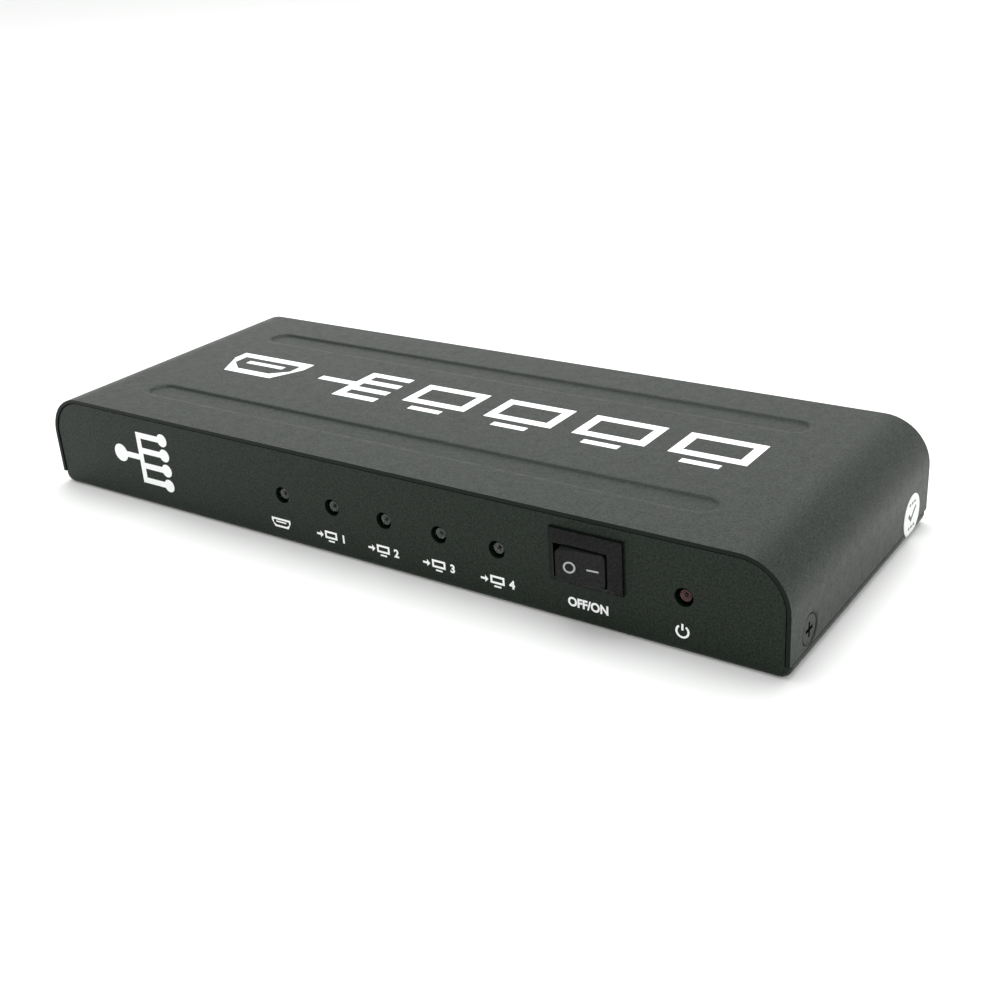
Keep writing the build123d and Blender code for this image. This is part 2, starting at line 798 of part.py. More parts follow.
# The common terminal, whose rounded top is the knife edge that the contact rocks on
knife_centre_y = knife_y + terminal_sheet / 2
with BuildPart() as switch_common_terminal:
    with BuildSketch(Plane.XY.offset(switch_height)):
        with Locations((switch_x, knife_centre_y)):
            Circle(terminal_sheet / 2)
            Rectangle(terminal_sheet, terminal_tip_y - knife_centre_y, align=(Align.CENTER, Align.MIN))
    extrude(amount=terminal_width / 2, both=True)
keep(switch_common_terminal, "switch_common_terminal")

# The switched terminal, with its flat head under the contact's button
with BuildPart() as switch_live_terminal:
    with BuildSketch(Plane.XY.offset(switch_height)):
        with Locations((switch_x + button_x, fixed_contact_y)):
            Rectangle(terminal_sheet, terminal_tip_y - fixed_contact_y, align=(Align.CENTER, Align.MIN))
    extrude(amount=terminal_width / 2, both=True)
    with BuildSketch(Plane.XY.offset(switch_height)):
        with Locations((switch_x + button_x, fixed_contact_y)):
            Rectangle(terminal_head_length, terminal_sheet, align=(Align.CENTER, Align.MIN))
    extrude(amount=terminal_head_width / 2, both=True)
keep(switch_live_terminal, "switch_live_terminal")

# Two insulated leads from the terminals down to the board
lead_bend = lead_bend_share * (switch_height - board_top)
for lead_name, lead_x in (("common", switch_x), ("live", switch_x + button_x)):
    with BuildPart() as lead:
        with BuildLine() as route:
            Polyline(
                (lead_x, terminal_tip_y, switch_height),
                (lead_x, terminal_tip_y + lead_run - lead_bend, switch_height),
                (lead_x, terminal_tip_y + lead_run, switch_height - lead_bend),
                (lead_x, terminal_tip_y + lead_run, board_top),
            )
        with BuildSketch(Plane(route.line @ 0, z_dir=route.line % 0)):
            RegularPolygon(lead_radius, lead_sides)
        sweep(path=route.line, transition=Transition.RIGHT)
    keep(lead, f"switch_{lead_name}_lead")

# Indicator lamps: round bodies, set back behind the panel
lamp_tip_y = lamp_recess - panel_face
for lamp_name, lamp_x in zip(lamp_names, lamp_places):
    with BuildPart() as lamp:
        with BuildSketch(lamp_face(lamp_x, lamp_tip_y)):
            Circle(lamp_radius)
        extrude(amount=-lamp_length)
    keep(lamp, f"{lamp_name}_lamp")

# The lamps' legs: straight back, then down through the board
lamp_back_y = lamp_tip_y + lamp_length
lamp_leg_places = [x + side * lamp_leg_pitch / 2 for x in lamp_places for side in (-1, 1)]
with BuildPart() as lamp_legs:
    with BuildSketch(*[Plane.YZ.offset(leg_x) for leg_x in lamp_leg_places]):
        with Locations((lamp_back_y, lamp_height)):
            Rectangle(lamp_leg_reach, lamp_leg, align=(Align.MIN, Align.CENTER))
        with Locations((lamp_back_y + lamp_leg_reach, lamp_height + lamp_leg / 2)):
            Rectangle(
                lamp_leg,
                lamp_height + lamp_leg / 2 - leg_foot,
                align=(Align.MAX, Align.MAX),
            )
    extrude(amount=lamp_leg / 2, both=True)
keep(lamp_legs, "lamp_legs")

# The splitter chip, with flat pins along its four sides
with BuildPart() as splitter_chip:
    with BuildSketch(Plane.XY.offset(board_top + chip_lift)):
        with Locations((chip_x, chip_y)):
            Rectangle(chip_size, chip_size)
    extrude(amount=chip_height)
    pin_views = []
    for turn in range(chip_sides):
        side_plane = Plane((chip_x, chip_y, board_top)).rotated((0, 0, full_turn * turn / chip_sides))
        for n in range(chip_pins):
            along = chip_pin_pitch * (n - (chip_pins - 1) / 2)
            root = side_plane.from_local_coords((chip_size / 2, along, 0))
            pin_views.append(Plane(origin=root, x_dir=side_plane.x_dir, z_dir=-side_plane.y_dir))
    with BuildSketch(*pin_views):
        Rectangle(chip_pin_reach, chip_lift + chip_pin_sheet, align=(Align.MIN, Align.MIN))
    extrude(amount=chip_pin_width / 2, both=True)
keep(splitter_chip, "splitter_chip")

# The pad and the finned heat sink on the chip
pad_foot = board_top + chip_lift + chip_height
with BuildPart() as thermal_pad:
    with BuildSketch(Plane.XY.offset(pad_foot)):
        with Locations((chip_x, chip_y)):
            Rectangle(chip_size, chip_size)
    extrude(amount=pad_thickness)
keep(thermal_pad, "thermal_pad")

with BuildPart() as heat_sink:
    with BuildSketch(Plane.XY.offset(pad_foot + pad_thickness)):
        with Locations((chip_x, chip_y)):
            Rectangle(sink_size, sink_size)
    extrude(amount=sink_base)
    fin_pitch = (sink_size - sink_fin_sheet) / (sink_fins - 1)
    with BuildSketch(Plane.XY.offset(pad_foot + pad_thickness + sink_base)):
        with Locations((chip_x, chip_y)):
            with GridLocations(fin_pitch, 0, sink_fins, 1):
                Rectangle(sink_fin_sheet, sink_size)
    extrude(amount=sink_height - sink_base)
keep(heat_sink, "heat_sink")

# A small buffer chip behind each output port
with BuildPart() as output_buffers:
    with BuildSketch(Plane.XY.offset(board_top)):
        with Locations(*[(x, port_back - buffer_setback) for x in output_ports]):
            Rectangle(buffer_length, buffer_width)
    extrude(amount=buffer_height)
keep(output_buffers, "output_buffers")

# The crystal in its drawn can
with BuildPart() as crystal:
    with BuildSketch(Plane.XY.offset(board_top)):
        with Locations((crystal_x, crystal_y)):
            SlotOverall(crystal_length, crystal_width)
    extrude(amount=crystal_height)
keep(crystal, "crystal")

# The voltage regulator with its cooling tab
with BuildPart() as voltage_regulator:
    with BuildSketch(Plane.XY.offset(board_top)):
        with Locations((regulator_x, regulator_y)):
            Rectangle(regulator_length, regulator_width)
    extrude(amount=regulator_height)
    with BuildSketch(Plane.XY.offset(board_top)):
        with Locations((regulator_x, regulator_y + regulator_width / 2)):
            Rectangle(regulator_tab_width, regulator_tab_reach, align=(Align.CENTER, Align.MIN))
        with Locations((regulator_x, regulator_y - regulator_width / 2)):
            with GridLocations(regulator_lead_pitch, 0, regulator_leads, 1):
                Rectangle(regulator_lead_width, regulator_tab_reach, align=(Align.CENTER, Align.MAX))
    extrude(amount=regulator_tab_sheet)
keep(voltage_regulator, "voltage_regulator")

# The shielded inductor
with BuildPart() as power_inductor:
    with BuildSketch(Plane.XY.offset(board_top)):
        with Locations((regulator_x, inductor_y)):
            RectangleRounded(inductor_size, inductor_size, inductor_corner)
    extrude(amount=inductor_height)
keep(power_inductor, "power_inductor")

# Two electrolytic capacitors on their square bases
with BuildPart() as smoothing_capacitors:
    with BuildSketch(Plane.XY.offset(board_top)):
        with Locations(*capacitor_places):
            Circle(capacitor_radius)
    extrude(amount=capacitor_height)
    with BuildSketch(Plane.XY.offset(board_top)):
        with Locations(*capacitor_places):
            Rectangle(capacitor_base, capacitor_base)
    extrude(amount=capacitor_base_height)
keep(smoothing_capacitors, "smoothing_capacitors")
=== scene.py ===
import json
from math import cos, pi, radians, sin, sqrt

import bpy
from mathutils import Matrix, Vector


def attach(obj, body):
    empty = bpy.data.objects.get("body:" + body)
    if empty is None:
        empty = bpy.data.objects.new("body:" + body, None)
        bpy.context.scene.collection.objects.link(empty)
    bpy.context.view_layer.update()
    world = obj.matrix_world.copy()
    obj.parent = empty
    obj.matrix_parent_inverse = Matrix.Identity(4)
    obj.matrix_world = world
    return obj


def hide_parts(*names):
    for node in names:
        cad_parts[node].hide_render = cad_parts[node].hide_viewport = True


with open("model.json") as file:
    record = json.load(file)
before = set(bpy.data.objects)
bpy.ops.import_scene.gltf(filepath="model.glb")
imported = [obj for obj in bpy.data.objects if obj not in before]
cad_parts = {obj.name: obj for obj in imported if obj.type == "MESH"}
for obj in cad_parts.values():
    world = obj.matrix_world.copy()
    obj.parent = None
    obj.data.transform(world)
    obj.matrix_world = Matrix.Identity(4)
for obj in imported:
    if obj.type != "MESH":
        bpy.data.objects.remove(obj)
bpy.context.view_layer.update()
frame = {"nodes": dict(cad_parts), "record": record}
nodes = frame["nodes"]

# Lengths are written in millimetres and multiplied by MM, because the scene is in metres
MM = 0.001

# Sizes of the model that the marks and the added pieces sit on
HALF_LENGTH = 91.0
CASE_HEIGHT = 21.8
PANEL_FACE = -33.95
LOWER_CORNER = 2.2
LAMP_HEIGHT = 10.87
LAMP_XS = {
    "input": -20.2, "output_1": -6.85, "output_2": 6.5, "output_3": 19.85, "output_4": 33.2,
    "power": 71.6,
}
LAMP_RADIUS = 1.5
LAMP_LENGTH = 5.3
SWITCH_X = 52.55
HINGE_Y = -32.95
ROCKER_ANGLE = radians(9)
ROCKER_DISH = radians(4)
ROCKER_VALLEY = 4.17


def place(origin, x_dir, normal):
    """The matrix of a flat place: its origin in millimetres, its x direction and its normal."""
    z = Vector(normal).normalized()
    x = Vector(x_dir).normalized()
    y = z.cross(x)
    turned = Matrix((x, y, z)).transposed().to_4x4()
    return Matrix.Translation(Vector(origin) * MM) @ turned


def add_piece(name, data, at=None):
    """Puts a new object into the scene and returns it."""
    piece = bpy.data.objects.new(name, data)
    bpy.context.scene.collection.objects.link(piece)
    if at is not None:
        piece.matrix_world = at
    return piece


# Materials

# Most values of a noise lie between these
NOISE_LOW = 0.3
NOISE_HIGH = 0.7

# Each noise of a material is read from a place of its own, so that they don't line up
PATCH_SHIFT = 0.37
SHINE_SHIFT = 0.73
BUMP_SHIFT = 0.11

# How large the patches of roughness are beside the colour's grain, and how fine a bump is
PATCH_GRAIN = 6
COLOUR_DETAIL = 3.0
BUMP_DETAIL = 4.0


def noise(tree, source, grain, detail=COLOUR_DETAIL, shift=0.0):
    """A noise texture whose features are about grain millimetres across."""
    node = tree.nodes.new("ShaderNodeTexNoise")
    node.inputs["Scale"].default_value = 1 / (grain * MM)
    node.inputs["Detail"].default_value = detail
    if shift:
        moved_source = tree.nodes.new("ShaderNodeVectorMath")
        moved_source.operation = "ADD"
        moved_source.inputs[1].default_value = (shift, shift, shift)
        tree.links.new(source, moved_source.inputs[0])
        source = moved_source.outputs[0]
    tree.links.new(source, node.inputs["Vector"])
    return node.outputs["Fac"]


def ramp(tree, factor, dark, light):
    """A colour that goes from dark to light over the middle of a noise."""
    node = tree.nodes.new("ShaderNodeValToRGB")
    ends = ((NOISE_LOW, dark), (NOISE_HIGH, light))
    for element, (at, colour) in zip(node.color_ramp.elements, ends):
        element.position = at
        element.color = (*colour, 1.0)
    tree.links.new(factor, node.inputs["Fac"])
    return node.outputs["Color"]


def mask(tree, value, start, end, low, high):
    """A node that spreads a value from low at start to high at end, and holds it beyond."""
    node = tree.nodes.new("ShaderNodeMapRange")
    for socket, number in (("From Min", start), ("From Max", end), ("To Min", low), ("To Max", high)):
        node.inputs[socket].default_value = number
    tree.links.new(value, node.inputs["Value"])
    return node


def spread(tree, factor, low, high):
    """A noise spread over low to high."""
    return mask(tree, factor, NOISE_LOW, NOISE_HIGH, low, high).outputs["Result"]


def surface(name, colour, rough, vary=0.15, rough_vary=0.06, grain=0.5, bump=0.0, bump_grain=0.3,
            shine=None, **sockets):
    """A material with mottled colour, uneven roughness, a fine bump and, if given, speckled shine.

    colour varies by the share vary and roughness by rough_vary. grain, bump and bump_grain are in
    millimetres. shine is the lowest and highest specular level. Other names are shader sockets.
    """
    made = bpy.data.materials.new(name)
    made.use_nodes = True
    tree = made.node_tree
    shader = tree.nodes["Principled BSDF"]
    where = tree.nodes.new("ShaderNodeTexCoord").outputs["Object"]
    dark = [c * (1 - vary) for c in colour]
    light = [min(c * (1 + vary), 1.0) for c in colour]
    mottle = noise(tree, where, grain)
    tree.links.new(ramp(tree, mottle, dark, light), shader.inputs["Base Color"])
    patches = noise(tree, where, grain * PATCH_GRAIN, shift=PATCH_SHIFT)
    rough_spread = spread(tree, patches, rough - rough_vary, rough + rough_vary)
    tree.links.new(rough_spread, shader.inputs["Roughness"])
    if shine:
        speckle = noise(tree, where, grain, shift=SHINE_SHIFT)
        tree.links.new(spread(tree, speckle, *shine), shader.inputs["Specular IOR Level"])
    if bump:
        node = tree.nodes.new("ShaderNodeBump")
        node.inputs["Distance"].default_value = bump * MM
        height = noise(tree, where, bump_grain, detail=BUMP_DETAIL, shift=BUMP_SHIFT)
        tree.links.new(height, node.inputs["Height"])
        tree.links.new(node.outputs["Normal"], shader.inputs["Normal"])
    for socket, value in sockets.items():
        shader.inputs[socket.replace("_", " ")].default_value = value
    return made


def coat(name, shine):
    """The matt dark coat of the case, whose shine is speckled between two levels."""
    return surface(name, COAT_COLOUR, 0.42, vary=0.5, rough_vary=0.03, grain=0.4,
                   bump=0.03, bump_grain=0.3, shine=shine)


def size_along_y(tree, vector):
    """How far a vector goes along y, either way."""
    parts = tree.nodes.new("ShaderNodeSeparateXYZ")
    size = tree.nodes.new("ShaderNodeMath")
    size.operation = "ABSOLUTE"
    tree.links.new(vector, parts.inputs[0])
    tree.links.new(parts.outputs["Y"], size.inputs[0])
    return size.outputs[0]


def press(made):
    """Paints shade on a coat's cut edges, which face along y, as a darker colour and less shine, and
    rounds the pressed channels' walls.
    """
    tree = made.node_tree
    shader = tree.nodes["Principled BSDF"]
    surface_normal = tree.nodes.new("ShaderNodeNewGeometry").outputs["Normal"]
    facing = size_along_y(tree, surface_normal)

    # Painted shade: the cut edges get less shine and a darker colour than the rest of the coat
    shine = mask(tree, facing, *CUT_EDGE_FACING, 0.0, CUT_EDGE_SHINE)
    tree.links.new(shader.inputs["Specular IOR Level"].links[0].from_socket, shine.inputs["To Min"])
    tree.links.new(shine.outputs["Result"], shader.inputs["Specular IOR Level"])

    edge_shade_blend = tree.nodes.new("ShaderNodeMix")
    edge_shade_blend.data_type = "RGBA"
    edge_shade_blend.inputs["B"].default_value = (*CUT_EDGE_PAINTED_SHADE, 1.0)
    painted_shade_share = mask(tree, facing, *CUT_EDGE_FACING, 0.0, 1.0)
    tree.links.new(shader.inputs["Base Color"].links[0].from_socket, edge_shade_blend.inputs["A"])
    tree.links.new(painted_shade_share.outputs["Result"], edge_shade_blend.inputs["Factor"])
    tree.links.new(edge_shade_blend.outputs["Result"], shader.inputs["Base Color"])

    across = size_along_y(tree, tree.nodes["Texture Coordinate"].outputs["Object"])
    rounded = tree.nodes.new("ShaderNodeBevel")
    rounded.samples = CHANNEL_SAMPLES
    rounded.inputs["Radius"].default_value = CHANNEL_ROUND * MM
    soft = tree.nodes.new("ShaderNodeMix")
    soft.data_type = "VECTOR"
    reach_end = CHANNELS_REACH + CHANNELS_FADE
    near_channels = mask(tree, across, CHANNELS_REACH * MM, reach_end * MM, 1.0, 0.0)
    tree.links.new(near_channels.outputs["Result"], soft.inputs["Factor"])
    tree.links.new(surface_normal, soft.inputs["A"])
    tree.links.new(rounded.outputs["Normal"], soft.inputs["B"])
    tree.links.new(soft.outputs["Result"], tree.nodes["Bump"].inputs["Normal"])
    return made


# The coat, and its shine on the tray and on the cover
COAT_COLOUR = (0.004, 0.0095, 0.0045)
TRAY_SHINE = (0.125, 0.305)
COVER_SHINE = (0.16, 0.37)

# How far a face of the cover is turned towards y where it starts to be a cut edge, and where it is one
CUT_EDGE_FACING = (0.55, 0.9)
# On the cut edges, painted shade: a lower shine and a darker colour than the coat's own
CUT_EDGE_SHINE = 0.13
CUT_EDGE_PAINTED_SHADE = (0.0035, 0.007, 0.004)

# The channels lie within this distance of the middle, and their walls are rounded this much
CHANNELS_REACH = 25.0
CHANNELS_FADE = 1.0
CHANNEL_ROUND = 1.5
CHANNEL_SAMPLES = 8

# A lamp's lens is nearly clear and hardly shines, so that it shows the cup under it
LENS = {"rough_vary": 0.03, "vary": 0.1, "grain": 1.2, "Alpha": 0.16, "Specular_IOR_Level": 0.06}

FINISHES = {
    "case_coat": coat("case_coat", TRAY_SHINE),
    "black_screw": surface("black_screw", (0.004, 0.0085, 0.0045), 0.42, vary=0.4, grain=0.2,
                           bump=0.006, shine=(0.15, 0.35)),
    "zinc_steel": surface("zinc_steel", (0.56, 0.57, 0.58), 0.3, bump=0.004, Metallic=1.0),
    "board_laminate": surface("board_laminate", (0.012, 0.11, 0.04), 0.32, vary=0.3, bump=0.01),
    "black_nylon": surface("black_nylon", (0.02, 0.02, 0.02), 0.5, vary=0.3, bump=0.008),
    "white_nylon": surface("white_nylon", (0.72, 0.72, 0.68), 0.4, vary=0.04, bump=0.004),
    "nickel_plate": surface("nickel_plate", (0.62, 0.6, 0.56), 0.24, vary=0.06, bump=0.003,
                            Metallic=1.0),
    "switch_plastic": surface("switch_plastic", (0.004, 0.005, 0.0042), 0.4, vary=0.25, grain=0.35,
                              bump=0.008, bump_grain=0.2, shine=(0.1, 0.24)),
    "spring_steel": surface("spring_steel", (0.5, 0.5, 0.5), 0.28, vary=0.08, bump=0.003,
                            Metallic=1.0),
    "contact_brass": surface("contact_brass", (0.72, 0.5, 0.2), 0.28, vary=0.08, bump=0.003,
                             Metallic=1.0),
    "gilt_contacts": surface("gilt_contacts", (0.85, 0.6, 0.22), 0.24, vary=0.06, bump=0.002,
                             Metallic=1.0),
    "red_insulation": surface("red_insulation", (0.45, 0.02, 0.02), 0.45, vary=0.1, bump=0.01),
    "black_insulation": surface("black_insulation", (0.02, 0.02, 0.02), 0.45, vary=0.2, bump=0.01),
    "chip_epoxy": surface("chip_epoxy", (0.02, 0.02, 0.022), 0.5, vary=0.3, grain=0.2, bump=0.006),
    "pad_silicone": surface("pad_silicone", (0.3, 0.34, 0.4), 0.6, vary=0.1, bump=0.01),
    "fin_aluminium": surface("fin_aluminium", (0.68, 0.69, 0.7), 0.32, vary=0.06, bump=0.004,
                             Metallic=1.0),
    "ferrite": surface("ferrite", (0.05, 0.05, 0.052), 0.6, vary=0.3, grain=0.2, bump=0.01),
    "capacitor_can": surface("capacitor_can", (0.7, 0.71, 0.72), 0.22, vary=0.05, bump=0.002,
                             Metallic=1.0),
    "clear_lamp": surface("clear_lamp", (0.02, 0.022, 0.02), 0.2, **LENS),
    "red_lamp": surface("red_lamp", (0.02, 0.005, 0.004), 0.2, **LENS),
}
WHITE_PRINT = surface("white_print", (0.95, 0.96, 0.96), 0.5, vary=0.04, grain=0.3, bump=0.004)
GREY_PRINT = surface("grey_print", (0.36, 0.36, 0.37), 0.5, vary=0.06, grain=0.2, bump=0.003)
STICKER_PAPER = surface("sticker_paper", (0.86, 0.88, 0.86), 0.45, vary=0.03, grain=0.8, bump=0.004)
STICKER_INK = surface("sticker_ink", (0.09, 0.1, 0.1), 0.5, vary=0.2, grain=0.2, bump=0.002)
LAMP_CUP = surface("lamp_cup", (0.08, 0.088, 0.08), 0.4, grain=0.6, bump=0.003)
RED_LAMP_CUP = surface("red_lamp_cup", (0.075, 0.029, 0.026), 0.4, grain=0.6, bump=0.003)
LAMP_CHIP = surface("lamp_chip", (0.003, 0.002, 0.002), 0.5, vary=0.2, grain=0.2, bump=0.002)

for part in frame["record"]["subparts"]:
    node = nodes[part["node"]]
    node.data.materials.clear()
    node.data.materials.append(FINISHES[part["material_slot"]])
# The cover's coat carries painted shade on its cut edges
nodes["top_cover"].data.materials[0] = press(coat("cover_coat", COVER_SHINE))

# Sheet and moulded edges are slightly rounded, so that they catch the light
EDGE_ROUNDS = {
    "top_cover": 0.16, "chassis_tray": 0.14, "switch_body": 0.12, "switch_rocker": 0.16,
    "cover_screws": 0.06, "power_jack_housing": 0.1,
}
EDGE_SEGMENTS = 2
EDGE_ANGLE = radians(35)
for name, width in EDGE_ROUNDS.items():
    rounded = nodes[name].modifiers.new("edge_round", "BEVEL")
    rounded.width = width * MM
    rounded.segments = EDGE_SEGMENTS
    rounded.limit_method = "ANGLE"
    rounded.angle_limit = EDGE_ANGLE


# Marks

# How far a print stands off the surface that it is on
PRINT_LIFT = 0.012


def circle(cx, cy, r, points=48):
    turns = [2 * pi * n / points for n in range(points)]
    return [(cx + r * cos(a), cy + r * sin(a)) for a in turns]


def box(cx, cy, width, height):
    w, h = width / 2, height / 2
    return [(cx - w, cy - h), (cx + w, cy - h), (cx + w, cy + h), (cx - w, cy + h)]


def moved(outline, dx, dy):
    return [(x + dx, y + dy) for x, y in outline]


def mark(name, outlines, at, body, finish, lift=PRINT_LIFT):
    """A thin flat print on the place at, from closed outlines in millimetres.

    An outline inside another is a hole.
    """
    curve = bpy.data.curves.new(name, "CURVE")
    curve.dimensions = "2D"
    curve.fill_mode = "BOTH"
    curve.extrude = lift * MM
    for outline in outlines:
        spline = curve.splines.new("POLY")
        spline.points.add(len(outline) - 1)
        for point, (x, y) in zip(spline.points, outline):
            point.co = (x * MM, y * MM, 0, 1)
        spline.use_cyclic_u = True
    piece = add_piece(name, curve, at)
    curve.materials.append(finish)
    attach(piece, body)


# The height of the built-in font's capitals as a share of its size, and how much bolder a print is
CAPITAL_SHARE = 0.69
BOLDER = 0.055


def words(name, text, height, at, body, narrow=1.0):
    """A white print centred on its place. Its capitals are height millimetres tall.

    narrow is its width as a share of the font's own.
    """
    curve = bpy.data.curves.new(name, "FONT")
    curve.body = text
    curve.align_x = "CENTER"
    curve.align_y = "CENTER"
    curve.size = height * MM / CAPITAL_SHARE
    curve.extrude = PRINT_LIFT * MM
    curve.offset = BOLDER * height * MM
    piece = add_piece(name, curve, at @ Matrix.Diagonal((narrow, 1, 1, 1)))
    curve.materials.append(WHITE_PRINT)
    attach(piece, body)


def front(x, z):
    """A place on the front panel."""
    return place((x, PANEL_FACE, z), (1, 0, 0), (0, -1, 0))


def top(x, y):
    """A place on the cover's top."""
    return place((x, y, CASE_HEIGHT), (1, 0, 0), (0, 0, 1))


def arrow(length, stroke, head):
    """An arrow that points along x from the middle of its tail."""
    neck = length - head
    half = stroke / 2
    return [
        (0, -half), (neck, -half), (neck, -head), (length, 0), (neck, head), (neck, half), (0, half),
    ]


# A screen's foot, as shares of the screen's stroke and width
FOOT_DROP = 1.2
FOOT_STROKE = 0.8
FOOT_WIDTH = 0.5


def screen(width, height, stroke):
    """A screen on a foot, as seen from in front."""
    outline = box(0, 0, width, height)
    hole = box(0, 0, width - 2 * stroke, height - 2 * stroke)
    foot = box(0, -height / 2 - stroke * FOOT_DROP, width * FOOT_WIDTH, stroke * FOOT_STROKE)
    return [outline, hole, foot]


# A port's tongue, as shares of the port's width, its inner half width and its stroke
TONGUE_RISE = 0.04
TONGUE_WIDTH = 1.3
TONGUE_STROKE = 0.7


def socket(width, height, cut, stroke):
    """A port seen from in front: wide above, narrow below, with its tongue."""

    def outline(w, h, c):
        return [(-w, h), (w, h), (w, h - c), (w - c, -h), (c - w, -h), (-w, h - c)]

    w, h = width / 2, height / 2
    return [
        outline(w, h, cut),
        outline(w - stroke, h - stroke, cut),
        box(0, TONGUE_RISE * width, (w - stroke) * TONGUE_WIDTH, stroke * TONGUE_STROKE),
    ]


# The power sign's gap on each side of its top in degrees, and its bar as shares of the ring's radius
POWER_GAP = 35
POWER_STEPS = 40
POWER_BAR_MIDDLE = 0.62
POWER_BAR_LENGTH = 0.95


def power_sign(r, stroke):
    """A ring open at its top, with a short bar in the gap."""
    inner = r - stroke
    sweep = 360 - 2 * POWER_GAP
    turn = [radians(90 + POWER_GAP + n * sweep / POWER_STEPS) for n in range(POWER_STEPS + 1)]
    outside = [(r * cos(a), r * sin(a)) for a in turn]
    inside = [(inner * cos(a), inner * sin(a)) for a in reversed(turn)]
    return [outside + inside, box(0, r * POWER_BAR_MIDDLE, stroke, r * POWER_BAR_LENGTH)]


def branch_ys(ways, spacing):
    """The heights of evenly spaced branches about the middle."""
    return [spacing * (n - (ways - 1) / 2) for n in range(ways)]


def fork(stem, bus, reach, stroke, ways, spacing):
    """One line that splits into several, as a single outline. The bus stands at x = 0."""
    half = stroke / 2
    ys = branch_ys(ways, spacing)
    outline = [(-stem, -half), (-bus, -half), (-bus, ys[0] - half)]
    for n, y in enumerate(ys):
        outline += [(reach, y - half), (reach, y + half)]
        if n < ways - 1:
            outline += [(0, y + half), (0, ys[n + 1] - half)]
    outline += [(-bus, ys[-1] + half), (-bus, half), (-stem, half)]
    return outline


# Captions under the lamps and the switch: a port for the input, an arrow, a screen and a number
# for each output, and a power sign
LABEL_Z = 4.15
LABEL_HEIGHT = 1.65
LABEL_STROKE = 0.45
INPUT_LABEL_X = -21.6
INPUT_LABEL_SIZE = (5.2, 2.1)
INPUT_LABEL_CUT = 0.75
OUTPUT_LABEL_XS = (-7.85, 5.7, 19.35, 33.0)
ARROW_FROM_LABEL = -3.9
ARROW_LENGTH = 1.75
ARROW_HEAD = 0.75
SCREEN_FROM_LABEL = -0.1
SCREEN_ABOVE_LABEL = 0.25
SCREEN_SIZE = (3.2, 1.7)
NUMBER_FROM_LABEL = 3.2
SWITCH_LABEL_HEIGHT = 1.72
SWITCH_LABEL_DROP = 0.07
SWITCH_LABEL_NARROW = 0.93
POWER_LABEL_X = 71.3
POWER_RADIUS = 1.35
POWER_STROKE = 0.4

mark("label_input", socket(*INPUT_LABEL_SIZE, INPUT_LABEL_CUT, LABEL_STROKE),
     front(INPUT_LABEL_X, LABEL_Z), "case", WHITE_PRINT)
for n, x in enumerate(OUTPUT_LABEL_XS, 1):
    mark(f"label_arrow_{n}", [arrow(ARROW_LENGTH, LABEL_STROKE, ARROW_HEAD)],
         front(x + ARROW_FROM_LABEL, LABEL_Z), "case", WHITE_PRINT)
    mark(f"label_screen_{n}", screen(*SCREEN_SIZE, LABEL_STROKE),
         front(x + SCREEN_FROM_LABEL, LABEL_Z + SCREEN_ABOVE_LABEL), "case", WHITE_PRINT)
    words(f"label_output_{n}", str(n), LABEL_HEIGHT, front(x + NUMBER_FROM_LABEL, LABEL_Z), "case")
words("label_switch", "OFF/ON", SWITCH_LABEL_HEIGHT,
      front(SWITCH_X, LABEL_Z - SWITCH_LABEL_DROP), "case", narrow=SWITCH_LABEL_NARROW)
mark("label_power", power_sign(POWER_RADIUS, POWER_STROKE), front(POWER_LABEL_X, LABEL_Z), "case",
     WHITE_PRINT)

# The sign at the front's left: one round end, a line that splits in four, four round ends
SIGN_X = -61.6
SIGN_Z = 11.3
SIGN_WAYS = 4
SIGN_SPACING = 3.6
SIGN_STROKE = 1.4
SIGN_REACH = 5.6
SIGN_START = {"cx": -7.4, "cy": 0, "r": 2.1}
SIGN_END_X = 6.9
SIGN_END_RADIUS = 1.5
SIGN_DOT_LIFT = 1.2
sign_lines = fork(SIGN_REACH, SIGN_STROKE, SIGN_REACH, SIGN_STROKE, SIGN_WAYS, SIGN_SPACING)
sign_ends = [circle(SIGN_END_X, y, SIGN_END_RADIUS) for y in branch_ys(SIGN_WAYS, SIGN_SPACING)]
mark("sign_front_lines", [sign_lines], front(SIGN_X, SIGN_Z), "case", WHITE_PRINT)
mark("sign_front_dots", [circle(**SIGN_START)] + sign_ends, front(SIGN_X, SIGN_Z), "case",
     WHITE_PRINT, lift=SIGN_DOT_LIFT * PRINT_LIFT)

# The row of signs on the top: a port, a line that splits in four, four screens
ROW_Y = 2.0
ROW_PORT_X = -57.5
ROW_PORT = {"width": 22.0, "height": 11.5, "cut": 3.8, "stroke": 2.3}
ROW_FORK_X = -27.5
ROW_FORK = {"stem": 12.0, "bus": 2.3, "reach": 9.5, "stroke": 2.1, "ways": 4, "spacing": 4.3}
ROW_SCREEN_XS = (-4.6, 16.9, 38.4, 59.9)
ROW_SCREEN_RISE = 1.4
ROW_SCREEN = {"width": 16.5, "height": 10.5, "stroke": 2.2}
row = [moved(o, ROW_PORT_X, 0) for o in socket(**ROW_PORT)]
row += [moved(fork(**ROW_FORK), ROW_FORK_X, 0)]
row += [moved(o, x, ROW_SCREEN_RISE) for x in ROW_SCREEN_XS for o in screen(**ROW_SCREEN)]
mark("sign_top", row, top(0, ROW_Y), "case", WHITE_PRINT)

# The rocker's marks lie on its two slopes and move with it
RING_RADIUS = 1.15
RING_INNER = 0.8
RING_FROM_HINGE = 2.09
DASH_LENGTH = 2.3
DASH_STROKE = 0.34
DASH_FROM_HINGE = 2.29
MARK_Z = 13.25


